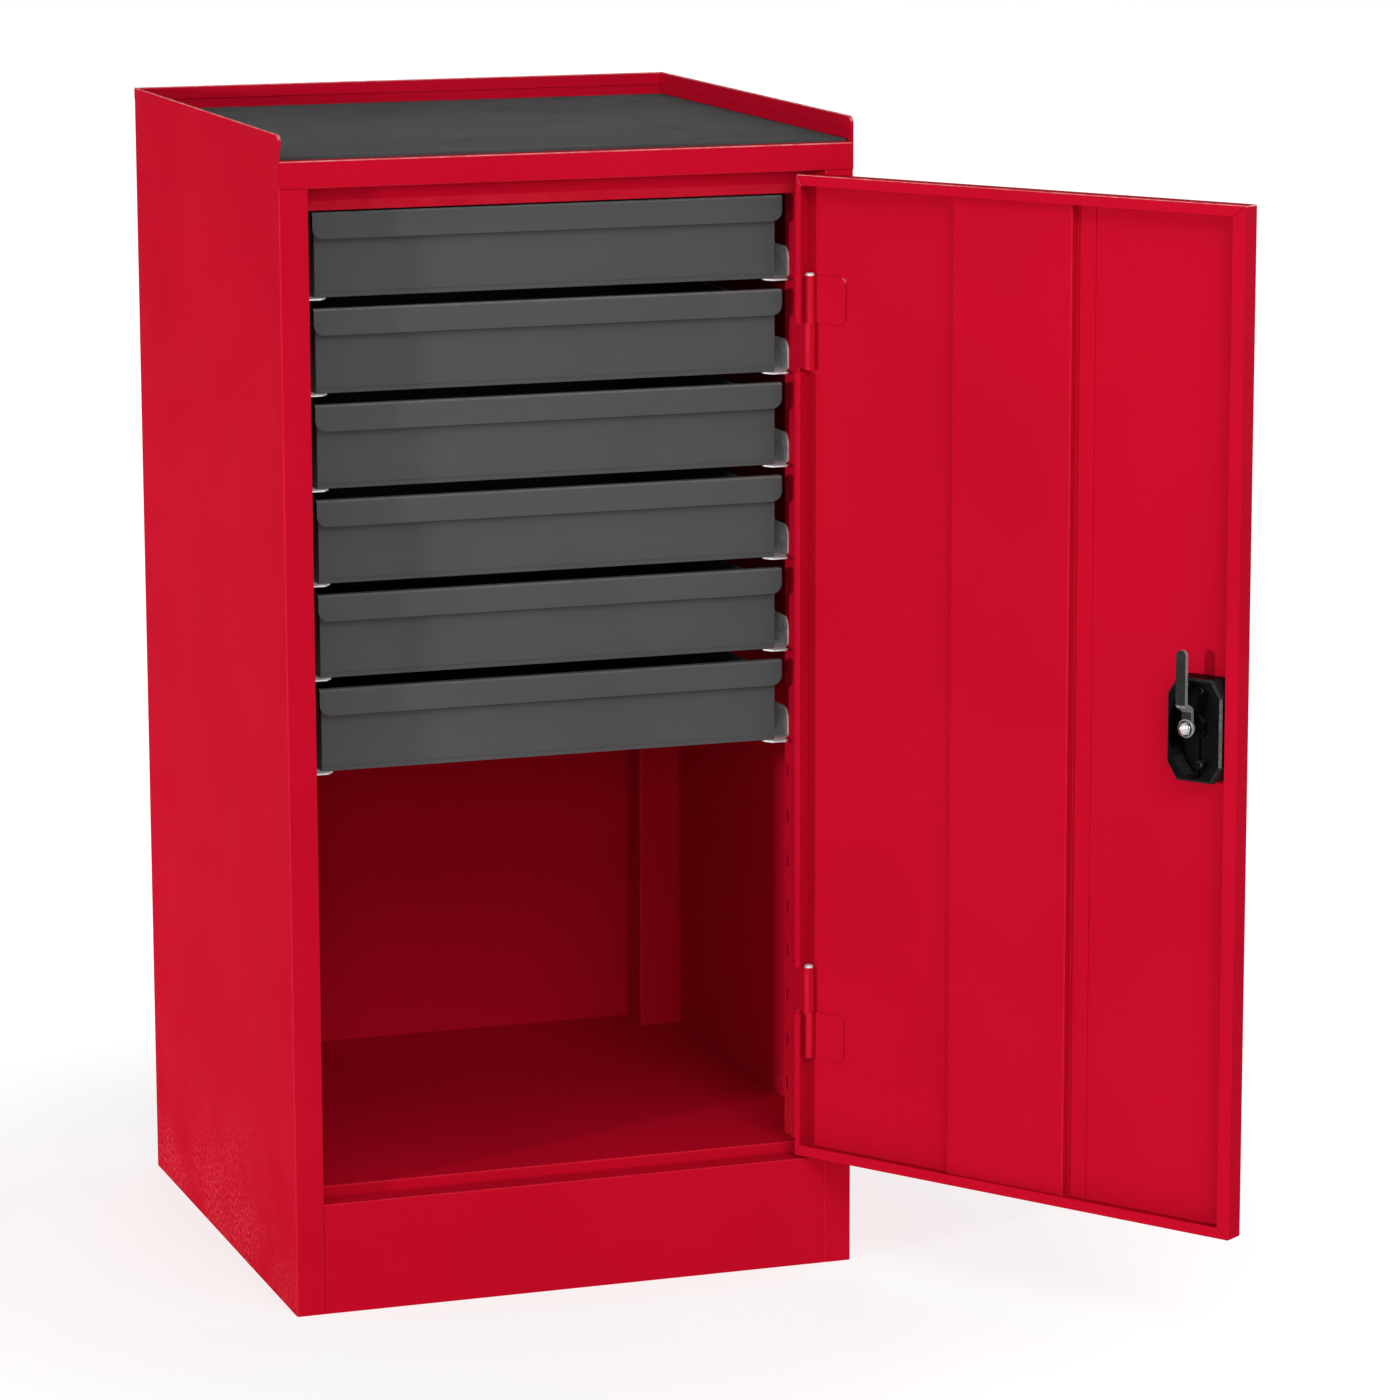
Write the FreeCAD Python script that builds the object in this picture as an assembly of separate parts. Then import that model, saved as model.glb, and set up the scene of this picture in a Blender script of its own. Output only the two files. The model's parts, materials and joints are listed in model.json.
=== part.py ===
"""Drawer tool cabinet: steel shell, inset door with a cam lock, six drawers on angle rails.

Millimetres. The origin is the centre of the footprint on the floor, +X to the right
seen from the front, +Y to the back, +Z up. The door is drawn shut and then swung open.
"""
import FreeCAD, Part
import math
import os

Vec = FreeCAD.Vector
X_AXIS = Vec(1, 0, 0)
Y_AXIS = Vec(0, 1, 0)
Z_AXIS = Vec(0, 0, 1)

# Shell
WIDTH = 500.0
DEPTH = 500.0
HEIGHT = 1000.0
SHEET = 1.2
BEND = 0.4
CREASE = (0, 1)
HALF_W = WIDTH / 2
FRONT = -DEPTH / 2
BACK = DEPTH / 2

# Rim round the top, folded over on itself
TOP_Z = 978.0
HEM_DEPTH = 11.0
HEM_GAP = 0.2
RIM_CORNER_R = 7.0

# Frame round the opening
STILE = 25.0
STILE_LIP = 13.0
STOP_Y = FRONT + STILE
RAIL_Z = 955.0
RAIL_LIP = 12.5
REAR_FLANGE = 14.0

# Plinth, base ring and bay floor
PLINTH_Z = 96.0
FLOOR_Z = 105.0
FLOOR_FLANGE = 15.0
FOOT_FLANGE = 24.0
FOOT_T = 2.0

# Rubber mat on the top
MAT_T = 2.0
MAT_EDGE = 0.6
MAT_SETBACK = 10.0

# Slotted uprights: the right one stands inwards, so drawers clear the open door
RIGHT_FACE = 210.0
LEFT_FACE = -225.0
UPRIGHT_DEPTH = 35.0
RIGHT_UPRIGHT_Y = STOP_Y
LEFT_UPRIGHT_Y = -216.0
LEFT_UPRIGHT_DEPTH = 26.0
REAR_UPRIGHT_Y = 205.0
FRONT_SLOT_Y = -198.0
REAR_SLOT_Y = 227.0
SLOT_W = 5.0
SLOT_H = 10.0
SLOT_FIRST_Z = 150.0
SLOT_PITCH = 40.0
SLOT_COUNT = 20
TOP_DRAWER_SLOT = 18
UPRIGHT_TOP = RAIL_Z - RAIL_LIP - 0.5

# Drawer rails
DRAWERS = 6
DRAWER_PITCH = 2 * SLOT_PITCH
RAIL_T = 1.5
RAIL_BEND = 0.8
RAIL_BASE_Z = 859.0
RAIL_H = 27.0
RAIL_W = 25.5
RAIL_FRONT_Y = -201.5
RAIL_BACK_Y = 236.0
RAIL_NOSE_R = 10.0
RAIL_HEEL = 3.5
RAIL_CHAMFER = 14.0
HOOK_W = 4.4
HOOK_H = 8.0
HOOK_DROP = 6.0
HOOK_T = 2.0

# Drawers
DRAWER_T = 1.0
DRAWER_CX = (LEFT_FACE + RIGHT_FACE) / 2
DRAWER_HALF = 202.0
LIP_HALF = 205.5
RUNNER_GAP = 0.8
SLIDE_GAP = 0.1
FRONT_PANEL_Y = -208.0
LIP_Y = -217.0
LIP_H = 22.0
LIP_CORNER_R = 9.0
LIP_BEND = 0.6
DRAWER_TOP = 932.0
PANEL_BOTTOM = 865.0
TRAY_BACK_Y = 223.0
TRAY_WALL_TOP = 918.0
TRAY_HEM = 8.0
TRAY_FRONT_TOP = 905.0
GUIDE_LENGTH = 75.0
GUIDE_H = 14.0
GUIDE_CORNER_R = 8.0

# Hinges: the pin stands inside the corner of the door pan
PIN_X = 213.0
PIN_Y = -244.0
PIN_R = 3.0
PIN_CLEAR = 0.05
DOOR_BARREL_R = 4.8
FRAME_BARREL_R = 4.5
HINGE_Z = (826.0, 225.0)
KNUCKLE = 40.0
KNUCKLE_GAP = 0.1
PIN_HEAD_R = 4.0
PIN_HEAD_H = 2.2
LEAF_REACH = 35.0
LEAF_CORNER_R = 6.0
FRAME_LEAF_BACK = -213.0

# Door
DOOR_HINGE_X = 219.0
DOOR_FREE_X = -222.0
DOOR_LOW = 99.0
DOOR_HIGH = 952.0
DOOR_T = 18.0
DOOR_BEND_R = 1.6
LIP_HINGE_SIDE = 5.0
LIP_FREE_SIDE = 12.0
LIP_ENDS = 9.0
NOTCH_MARGINS = ((1.5, 0.1), (0.1, 1.5))
MITRE_SLIT = 0.4
DOOR_OPEN_DEG = 124.0

# Hat profile on the inside of the door
HAT_CX = DOOR_HINGE_X - 214.0
HAT_TOP = 116.0
HAT_FOOT = 18.0
HAT_H = 10.0
HAT_T = 0.8

# Lock, clamped round a cut-out in the door; the spindle stands off the housing's centre
LOCK_X = DOOR_FREE_X + 46.0
LOCK_Z = 524.5
HOUSING_X = LOCK_X - 7.0
HOUSING_Z = LOCK_Z - 1.0
HOUSING_W = 52.0
HOUSING_H = 86.0
HOUSING_EDGE = 2.0
CHAMFER_X = 9.5
CHAMFER_Z = 14.5
HOUSING_BACK = -228.0
CUTOUT_INSET = 3.0
BEZEL_MARGIN = 4.0
BEZEL_T = 2.0
BEZEL_GAP = 0.2
COLLAR_R = 16.0
COLLAR_T = 2.0
DISH_W = 47.5
DISH_H = 80.0
OVAL_SIDES = 30
PLUG_BACK = -244.2
POCKET_BACK = -244.0
WEB_BACK = -242.4
BOSS_BACK = -238.0
BOSS_R = 10.5
RIB_T = 2.0
RIB_X = -5.0
RIB_W = 4.0
SPINDLE_R = 4.5
SHOULDER_R = 6.0
SQUARE = 7.0
THREAD_R = 2.0
THREAD_L = 3.0
GRIP_GAP = 0.3
GRIP_HUB_R = 14.0
GRIP_HUB_T = 8.0
GRIP_BAR_L = 48.0
GRIP_BAR_W = 14.0
GRIP_BAR_T = 12.0
GRIP_CHAMFER = 0.8
GRIP_CORNER = 4.5
GRIP_BACK = FRONT - BEZEL_T - COLLAR_T - GRIP_GAP
GRIP_FRONT = GRIP_BACK - GRIP_HUB_T - GRIP_BAR_T
PLUG_R = 6.0
PLUG_DEPTH = 15.0
PLUG_PROUD = 0.5
KEYWAY_W = 1.6
KEYWAY_L = 7.0
KEYWAY_D = 3.0
LEVER_W = 9.0
LEVER_T = 4.0
LEVER_REACH = 66.0
LEVER_BACK = -218.2
LEVER_ROOT = -232.0
LEVER_CRANK = (14.0, 19.0)
LEVER_HEEL_R = 6.0
SCREW_PAD_Z = 31.0
SCREW_PAD_R = 4.0


def block(x0, x1, y0, y1, z0, z1):
    """A box between two corners, given in any order."""
    low = Vec(min(x0, x1), min(y0, y1), min(z0, z1))
    return Part.makeBox(abs(x1 - x0), abs(y1 - y0), abs(z1 - z0), low)


def rod(radius, length, start, axis=Z_AXIS):
    return Part.makeCylinder(radius, length, start, axis)


def fuse(shapes):
    whole = shapes[0]
    for shape in shapes[1:]:
        whole = whole.fuse(shape)
    return whole.removeSplitter()


def cut(shape, tools):
    for tool in tools:
        shape = shape.cut(tool)
    return shape


def on_plane(plane, a, b):
    """A point of a drawing plane: a and b are its first and second axis."""
    if plane == "xy":
        return Vec(a, b, 0)
    if plane == "yz":
        return Vec(0, a, b)
    return Vec(a, 0, b)


PLANE_NORMAL = {"xy": Z_AXIS, "yz": X_AXIS, "xz": Y_AXIS}


def bent_sheet(plane, path, side, start, end, t=SHEET, inner_r=BEND, shares=(0, 0.5, 1)):
    """A folded sheet: one face follows the path, the metal lies on its left (1) or right (-1)."""
    steps = [(b[0] - a[0], b[1] - a[1]) for a, b in zip(path, path[1:])]
    dirs = [(dx / math.hypot(dx, dy), dy / math.hypot(dx, dy)) for dx, dy in steps]
    near = [[path[0]]]
    far = [[shift(path[0], dirs[0], side * t)]]
    for corner, d_in, d_out in zip(path[1:-1], dirs, dirs[1:]):
        cross = d_in[0] * d_out[1] - d_in[1] * d_out[0]
        turn = math.atan2(cross, d_in[0] * d_out[0] + d_in[1] * d_out[1])
        metal_inside = side * turn > 0
        r_near = inner_r + t if metal_inside else inner_r
        r_far = inner_r if metal_inside else inner_r + t
        near_arc, far_arc = bend_arcs(corner, d_in, turn, (r_near, r_far), shares)
        near.append(near_arc)
        far.append(far_arc)
    near.append([path[-1]])
    far.append([shift(path[-1], dirs[-1], side * t)])
    edges = run_edges(plane, near) + run_edges(plane, far)
    for a, b in ((near[0][0], far[0][0]), (near[-1][0], far[-1][0])):
        edges.append(Part.LineSegment(on_plane(plane, *a), on_plane(plane, *b)).toShape())
    face = Part.Face(Part.Wire(Part.__sortEdges__(edges)))
    normal = PLANE_NORMAL[plane]
    face.translate(normal * start)
    return face.extrude(normal * (end - start))


def shift(point, direction, distance):
    """A point moved to the left of a direction."""
    return (point[0] - direction[1] * distance, point[1] + direction[0] * distance)


def bend_arcs(corner, d_in, turn, radii, shares):
    """Points on the two arcs of a bend that share a centre, at the given shares of the turn."""
    sign = 1 if turn > 0 else -1
    r_near = radii[0]
    back = r_near * math.tan(abs(turn) / 2)
    start = (corner[0] - d_in[0] * back, corner[1] - d_in[1] * back)
    centre = shift(start, d_in, sign * r_near)
    spoke = (start[0] - centre[0], start[1] - centre[1])
    arcs = []
    for radius in radii:
        arc = []
        for share in shares:
            angle = turn * share
            c, s = math.cos(angle), math.sin(angle)
            x = (spoke[0] * c - spoke[1] * s) * radius / r_near
            y = (spoke[0] * s + spoke[1] * c) * radius / r_near
            arc.append((centre[0] + x, centre[1] + y))
        arcs.append(arc)
    return arcs


def run_edges(plane, run):
    """Edges through a list of single points, two-point creases and three-point arcs."""
    edges = []
    last = run[0][0]
    for item in run[1:]:
        if math.dist(last, item[0]) > 1e-6:
            edges.append(Part.LineSegment(on_plane(plane, *last), on_plane(plane, *item[0])).toShape())
        points = [on_plane(plane, *p) for p in item]
        if len(item) == 3:
            edges.append(Part.Arc(*points).toShape())
        elif len(item) == 2:
            edges.append(Part.LineSegment(*points).toShape())
        last = item[-1]
    return edges


def corner_piece(plane, corner, inward, radius, start, end):
    """What is cut off to round a square corner: inward gives the signs of the material."""
    a, b = corner
    sa, sb = inward
    tip = on_plane(plane, a, b)
    end_a = on_plane(plane, a + sa * radius, b)
    end_b = on_plane(plane, a, b + sb * radius)
    k = radius * (1 - math.sqrt(0.5))
    middle = on_plane(plane, a + sa * k, b + sb * k)
    edges = [
        Part.LineSegment(tip, end_a).toShape(),
        Part.Arc(end_a, middle, end_b).toShape(),
        Part.LineSegment(end_b, tip).toShape(),
    ]
    face = Part.Face(Part.Wire(edges))
    normal = PLANE_NORMAL[plane]
    face.translate(normal * start)
    return face.extrude(normal * (end - start))


def corner_bevel(plane, corner, inward, size, start, end):
    """What is cut off to bevel a square corner: inward gives the signs of the material."""
    a, b = corner
    tips = [(a, b), (a + inward[0] * size, b), (a, b + inward[1] * size), (a, b)]
    face = Part.Face(Part.makePolygon([on_plane(plane, *tip) for tip in tips]))
    normal = PLANE_NORMAL[plane]
    face.translate(normal * start)
    return face.extrude(normal * (end - start))


def side_panel(s):
    """Side sheet, front stile with its return and lip, rear flange and hemmed rim; s is 1 or -1."""
    outline = [
        (s * (HALF_W - REAR_FLANGE), BACK),
        (s * HALF_W, BACK),
        (s * HALF_W, FRONT),
        (s * (HALF_W - STILE), FRONT),
        (s * (HALF_W - STILE), STOP_Y),
        (s * (HALF_W - STILE + STILE_LIP), STOP_Y),
    ]
    body = bent_sheet("xy", outline, -s, 0, RAIL_Z)
    hem = 2 * SHEET + HEM_GAP
    hem_low = HEIGHT - HEM_DEPTH
    upper = bent_sheet("xy", outline[:2] + [(s * HALF_W, FRONT)], -s, RAIL_Z, hem_low)
    rim_path = [
        (s * HALF_W, hem_low),
        (s * HALF_W, HEIGHT),
        (s * (HALF_W - hem), HEIGHT),
        (s * (HALF_W - hem), hem_low),
    ]
    rim = bent_sheet("xz", rim_path, s, FRONT, BACK, inner_r=HEM_GAP / 2)
    nose = corner_piece("yz", (FRONT, HEIGHT), (1, -1), RIM_CORNER_R, -HALF_W - 1, HALF_W + 1)
    lip = s * (HALF_W - STILE)
    relief = block(lip, lip + s * STILE, STOP_Y - SHEET, STOP_Y, RAIL_Z - BEND, RAIL_Z)
    return fuse([body.cut(relief), upper, rim.cut(nose)])


def back_panel():
    """Back sheet between the side flanges, hemmed along its upper edge."""
    hem = 2 * SHEET + HEM_GAP
    y = BACK - SHEET
    hem_low = HEIGHT - HEM_DEPTH
    path = [(y, FOOT_T), (y, HEIGHT), (y - hem, HEIGHT), (y - hem, hem_low)]
    inset = HALF_W - SHEET - BEND
    sheet = bent_sheet("yz", [path[0], (y, hem_low)], 1, -inset, inset)
    hem_inset = HALF_W - 2 * SHEET - HEM_GAP
    hemmed = bent_sheet("yz", [(y, TOP_Z)] + path[1:], 1, -hem_inset, hem_inset, inner_r=HEM_GAP / 2)
    return fuse([sheet, hemmed])


def top_panel():
    """Worktop sheet folded down into the front rail, back under it and down as the door stop."""
    path = [
        (BACK - 2 * SHEET, TOP_Z),
        (FRONT, TOP_Z),
        (FRONT, RAIL_Z),
        (STOP_Y, RAIL_Z),
        (STOP_Y, RAIL_Z - RAIL_LIP),
    ]
    inset = HALF_W - SHEET
    return bent_sheet("yz", path, 1, -inset, inset)


def top_mat():
    rim = 2 * SHEET + HEM_GAP + MAT_EDGE
    mat = block(rim - HALF_W, HALF_W - rim, FRONT + MAT_SETBACK, BACK - SHEET - rim, TOP_Z, TOP_Z + MAT_T)
    edges = [e for e in mat.Edges if e.BoundBox.ZMin > TOP_Z + MAT_T / 2]
    return mat.makeChamfer(MAT_EDGE, edges)


def plinth_front():
    """Plinth sheet between the stiles, folded back into the ledge below the door."""
    path = [(STOP_Y, PLINTH_Z), (FRONT, PLINTH_Z), (FRONT, FOOT_T)]
    inset = HALF_W - STILE
    return bent_sheet("yz", path, 1, -inset, inset)


def base_frame():
    """Flat ring that the shell is welded to and stands on."""
    x = HALF_W - SHEET
    y_front = STOP_Y
    y_back = BACK - SHEET - BEND
    ring = block(-x, x, y_front, y_back, 0, FOOT_T)
    hole = block(
        FOOT_FLANGE - x, x - FOOT_FLANGE, y_front + FOOT_FLANGE, y_back - FOOT_FLANGE, -1, FOOT_T + 1
    )
    nose = block(STILE - HALF_W, HALF_W - STILE, FRONT, y_front + 1, 0, FOOT_T)
    return fuse([ring.cut(hole), nose])


def bay_floor():
    """Floor of the lower bay: front lip, ledge joint and side flanges folded down."""
    y_back = BACK - 2 * SHEET
    x = HALF_W - SHEET
    path = [(y_back, FLOOR_Z), (STOP_Y, FLOOR_Z), (STOP_Y, PLINTH_Z - SHEET)]
    floor = bent_sheet("yz", path, 1, -x, x)
    flanges = [
        block(s * x, s * (x - SHEET), STOP_Y + SHEET, y_back, FLOOR_Z - FLOOR_FLANGE, FLOOR_Z - SHEET)
        for s in (-1, 1)
    ]
    rear = block(-x, x, y_back - SHEET, y_back, FLOOR_Z - FLOOR_FLANGE, FLOOR_Z - SHEET)
    return fuse([floor, rear] + flanges)


def upright(side, face_x, y0, depth, slot_y):
    """Channel welded to the side panel, its face slotted for rails; side is 1 for the right."""
    wall = side * (HALF_W - SHEET)
    path = [(wall, y0), (face_x, y0), (face_x, y0 + depth), (wall, y0 + depth)]
    channel = bent_sheet("xy", path, -side, FLOOR_Z, UPRIGHT_TOP, shares=CREASE)
    slots = []
    for k in range(SLOT_COUNT):
        low = SLOT_FIRST_Z + SLOT_PITCH * k - SLOT_H / 2
        y1 = slot_y - SLOT_W / 2
        slots.append(block(face_x - 3, face_x + 3, y1, y1 + SLOT_W, low, low + SLOT_H))
    return channel.cut(Part.makeCompound(slots))


def drawer_rail(side, z0):
    """Galvanised angle with two hooks; side is 1 for the right."""
    face = RIGHT_FACE if side > 0 else LEFT_FACE
    path = [(face, z0 + RAIL_H), (face, z0), (face - side * RAIL_W, z0)]
    angle = bent_sheet("xz", path, -side, RAIL_FRONT_Y, RAIL_BACK_Y, RAIL_T, RAIL_BEND, CREASE)
    across = (face - 2 * RAIL_W, face + 2 * RAIL_W)
    toe = face - side * RAIL_W
    tools = [
        corner_piece("yz", (RAIL_FRONT_Y, z0 + RAIL_H), (1, -1), RAIL_NOSE_R, *across),
        corner_bevel("yz", (RAIL_FRONT_Y, z0), (1, 1), RAIL_HEEL, *across),
        corner_bevel("xy", (toe, RAIL_FRONT_Y), (side, 1), RAIL_CHAMFER, z0 - 1, z0 + 2 * RAIL_T),
    ]
    angle = cut(angle, tools)
    slot_z = z0 + SLOT_FIRST_Z + SLOT_PITCH * TOP_DRAWER_SLOT - RAIL_BASE_Z
    hooks = []
    for y in (FRONT_SLOT_Y, REAR_SLOT_Y):
        y0, y1 = y - HOOK_W / 2, y + HOOK_W / 2
        neck_end = face + side * (SHEET + 0.2)
        top = slot_z + HOOK_H / 2
        hooks.append(block(face - side * 0.5, neck_end, y0, y1, slot_z - HOOK_H / 2, top))
        hooks.append(
            block(neck_end, neck_end + side * HOOK_T, y0, y1, slot_z - HOOK_H / 2 - HOOK_DROP, top)
        )
    return fuse([angle] + hooks)


def drawer_tray(z0):
    """Open tray: base that slides on the rails, hemmed side walls, front and back walls."""
    base_z = z0 + RAIL_T + SLIDE_GAP
    wall_top = z0 + TRAY_WALL_TOP - RAIL_BASE_Z
    front_top = z0 + TRAY_FRONT_TOP - RAIL_BASE_Z
    x0, x1 = DRAWER_CX - DRAWER_HALF, DRAWER_CX + DRAWER_HALF
    y0 = FRONT_PANEL_Y + DRAWER_T
    hem = 2 * DRAWER_T + HEM_GAP
    pieces = [
        block(x0, x1, y0, TRAY_BACK_Y, base_z, base_z + DRAWER_T),
        block(x0, x1, y0, y0 + DRAWER_T, base_z, front_top),
        block(x0, x1, TRAY_BACK_Y - DRAWER_T, TRAY_BACK_Y, base_z, wall_top),
    ]
    for x, side in ((x0, -1), (x1, 1)):
        hem_x = x - side * hem
        path = [(x, base_z), (x, wall_top), (hem_x, wall_top), (hem_x, wall_top - TRAY_HEM)]
        pieces.append(bent_sheet("xz", path, side, y0, TRAY_BACK_Y, DRAWER_T, HEM_GAP / 2, CREASE))
    return fuse(pieces)


def drawer_guides(z0):
    """Two angles welded to the tray's sides at the rear, which keep it centred between the rails."""
    base_z = z0 + RAIL_T + SLIDE_GAP
    y_front = TRAY_BACK_Y - GUIDE_LENGTH
    guides = []
    for side, face in ((-1, LEFT_FACE), (1, RIGHT_FACE)):
        wall = DRAWER_CX + side * DRAWER_HALF
        tip = face - side * (RAIL_T + RUNNER_GAP)
        path = [(wall, base_z + GUIDE_H), (wall, base_z), (tip, base_z)]
        angle = bent_sheet("xz", path, side, y_front, TRAY_BACK_Y, DRAWER_T, BEND, CREASE)
        lead = corner_piece(
            "xy", (tip, y_front), (-side, 1), GUIDE_CORNER_R, base_z - 1, base_z + DRAWER_T + 0.5
        )
        guides.append(angle.cut(lead))
    return Part.makeCompound(guides)


def drawer_front(z0):
    """Front panel folded over at the top into a grip lip with rounded lower corners."""
    low = z0 + PANEL_BOTTOM - RAIL_BASE_Z
    top = z0 + DRAWER_TOP - RAIL_BASE_Z
    path = [
        (FRONT_PANEL_Y, low),
        (FRONT_PANEL_Y, top - DRAWER_T),
        (LIP_Y + DRAWER_T, top - DRAWER_T),
        (LIP_Y + DRAWER_T, top - LIP_H),
    ]
    x0, x1 = DRAWER_CX - LIP_HALF, DRAWER_CX + LIP_HALF
    sheet = bent_sheet("yz", path, -1, x0, x1, DRAWER_T, LIP_BEND, CREASE)
    tools = []
    for s in (-1, 1):
        edge = DRAWER_CX + s * DRAWER_HALF
        tools.append(block(edge, edge + s * 10, FRONT_PANEL_Y - 0.7, 0, low - 1, top + 1))
        corner = (DRAWER_CX + s * LIP_HALF, top - LIP_H)
        tools.append(corner_piece("xz", corner, (-s, 1), LIP_CORNER_R, LIP_Y - 1, FRONT_PANEL_Y - 2))
    return cut(sheet, tools)


def pin_axis(z):
    return Vec(PIN_X, PIN_Y, z)


def knuckle_spans(index):
    """Lower and upper end of the frame half and of the door half of a hinge."""
    middle = HINGE_Z[index]
    if index == 0:
        return (middle - KNUCKLE, middle), (middle + KNUCKLE_GAP, middle + KNUCKLE)
    return (middle, middle + KNUCKLE), (middle - KNUCKLE, middle - KNUCKLE_GAP)


def frame_leaf(index):
    """Rolled knuckle with a flat arm that is welded to the inner face of the right upright."""
    low, high = knuckle_spans(index)[0]
    barrel = rod(FRAME_BARREL_R, high - low, pin_axis(low))
    t = FRAME_BARREL_R - PIN_R
    arm = block(PIN_X - FRAME_BARREL_R, PIN_X - FRAME_BARREL_R + t, PIN_Y, FRAME_LEAF_BACK, low, high)
    bore = rod(PIN_R, high - low + 2, pin_axis(low - 1))
    return fuse([barrel, arm]).cut(bore)


def door_leaf(index):
    """Rolled knuckle with a flat leaf that is welded to the inside of the door sheet."""
    low, high = knuckle_spans(index)[1]
    barrel = rod(DOOR_BARREL_R, high - low, pin_axis(low))
    t = DOOR_BARREL_R - PIN_R - PIN_CLEAR
    y = PIN_Y - DOOR_BARREL_R
    x_end = PIN_X - LEAF_REACH
    leaf = block(x_end, PIN_X, y, y + t, low, high)
    tools = [
        corner_piece("xz", (x_end, z), (1, up), LEAF_CORNER_R, y - 1, y + t + 1)
        for z, up in ((low, 1), (high, -1))
    ]
    bore = rod(PIN_R + PIN_CLEAR, high - low + 2, pin_axis(low - 1))
    return cut(fuse([barrel, leaf]), tools + [bore])


def hinge_pin(index):
    """Pin with a bevelled head on top."""
    spans = knuckle_spans(index)
    low = min(span[0] for span in spans)
    head = max(span[1] for span in spans) + KNUCKLE_GAP
    outline = [
        (0, low), (PIN_R, low), (PIN_R, head), (PIN_HEAD_R, head),
        (PIN_HEAD_R, head + PIN_HEAD_H / 2), (PIN_R, head + PIN_HEAD_H), (0, head + PIN_HEAD_H), (0, low),
    ]
    pin = Part.Face(Part.makePolygon([Vec(r, 0, z) for r, z in outline])).revolve(Vec(), Z_AXIS, 360)
    pin.translate(pin_axis(0))
    return pin


def mitre_slits(x_out, x_in, z_out, z_in, y0, y1):
    """Thin seam from the outer to the inner corner of the folded rim."""
    run = Vec(x_in - x_out, 0, z_in - z_out)
    across = Vec(-run.z, 0, run.x).normalize() * (MITRE_SLIT / 2)
    start = Vec(x_out, y0, z_out) + run * 0.12
    end = Vec(x_in, y0, z_in) + run * 0.1
    corners = [start - across, end - across, end + across, start + across, start - across]
    return Part.Face(Part.makePolygon(corners)).extrude(Y_AXIS * (y1 - y0))


def door_panel():
    """Folded pan with a narrow rim; cut for the lock and notched round the frame knuckles."""
    pan = block(DOOR_FREE_X, DOOR_HINGE_X, FRONT, FRONT + DOOR_T, DOOR_LOW, DOOR_HIGH)
    rounds = [
        e for e in pan.Edges
        if e.BoundBox.YMax < FRONT + 0.1 or e.BoundBox.YLength > DOOR_T - 0.1
    ]
    pan = pan.makeFillet(DOOR_BEND_R, rounds)
    back = FRONT + DOOR_T
    cavity = block(
        DOOR_FREE_X + SHEET, DOOR_HINGE_X - SHEET,
        FRONT + SHEET, back - SHEET, DOOR_LOW + SHEET, DOOR_HIGH - SHEET,
    )
    x0, x1 = DOOR_FREE_X + LIP_FREE_SIDE, DOOR_HINGE_X - LIP_HINGE_SIDE
    z0, z1 = DOOR_LOW + LIP_ENDS, DOOR_HIGH - LIP_ENDS
    mouth = block(x0, x1, back - 2 * SHEET, back + 1, z0, z1)
    tools = [cavity, mouth]
    for x_out, x_in in ((DOOR_FREE_X, x0), (DOOR_HINGE_X, x1)):
        for z_out, z_in in ((DOOR_LOW, z0), (DOOR_HIGH, z1)):
            tools.append(mitre_slits(x_out, x_in, z_out, z_in, back - SHEET - 0.1, back + 1))
    for index, (below, above) in enumerate(NOTCH_MARGINS):
        low, high = knuckle_spans(index)[0]
        tools.append(block(x1 - 1, DOOR_HINGE_X + 1, FRONT + SHEET, back + 1, low - below, high + above))
    tools.append(octagon(CUTOUT_INSET, FRONT - 1, FRONT + SHEET + 1))
    return cut(pan, tools)


def door_stiffener():
    """Hat profile welded to the inside of the door between the rims at its two ends."""
    base = FRONT + SHEET
    half_top = HAT_TOP / 2
    half = half_top + HAT_FOOT
    path = [
        (HAT_CX - half, base),
        (HAT_CX - half_top, base),
        (HAT_CX - half_top, base + HAT_H - HAT_T),
        (HAT_CX + half_top, base + HAT_H - HAT_T),
        (HAT_CX + half_top, base),
        (HAT_CX + half, base),
    ]
    low, high = DOOR_LOW + SHEET + 0.5, DOOR_HIGH - SHEET - 0.5
    return bent_sheet("xy", path, 1, low, high, t=HAT_T, inner_r=HAT_T)


def octagon(inset, y0, y1):
    """Plate between two depths: the housing's outline with chamfered corners, drawn in by inset."""
    w, h = HOUSING_W / 2 - inset, HOUSING_H / 2 - inset
    cx, cz = CHAMFER_X - inset / 2, CHAMFER_Z - inset / 2
    outline = [
        (w, h - cz), (w - cx, h), (cx - w, h), (-w, h - cz),
        (-w, cz - h), (cx - w, -h), (w - cx, -h), (w, cz - h),
    ]
    points = [Vec(HOUSING_X + x, y0, HOUSING_Z + z) for x, z in outline]
    return Part.Face(Part.makePolygon(points + points[:1])).extrude(Y_AXIS * (y1 - y0))


def oval(y0, y1):
    """The oval of the dish as a solid between two depths."""
    points = []
    for k in range(OVAL_SIDES + 1):
        angle = 2 * math.pi * (k % OVAL_SIDES) / OVAL_SIDES
        x, z = DISH_W / 2 * math.cos(angle), DISH_H / 2 * math.sin(angle)
        points.append(Vec(HOUSING_X + x, y0, HOUSING_Z + z))
    return Part.Face(Part.makePolygon(points)).extrude(Y_AXIS * (y1 - y0))


def lock_rod(radius, y0, y1, x=0, z=0):
    """A round placed from the spindle's axis."""
    return rod(radius, y1 - y0, Vec(LOCK_X + x, y0, LOCK_Z + z), Y_AXIS)


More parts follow.
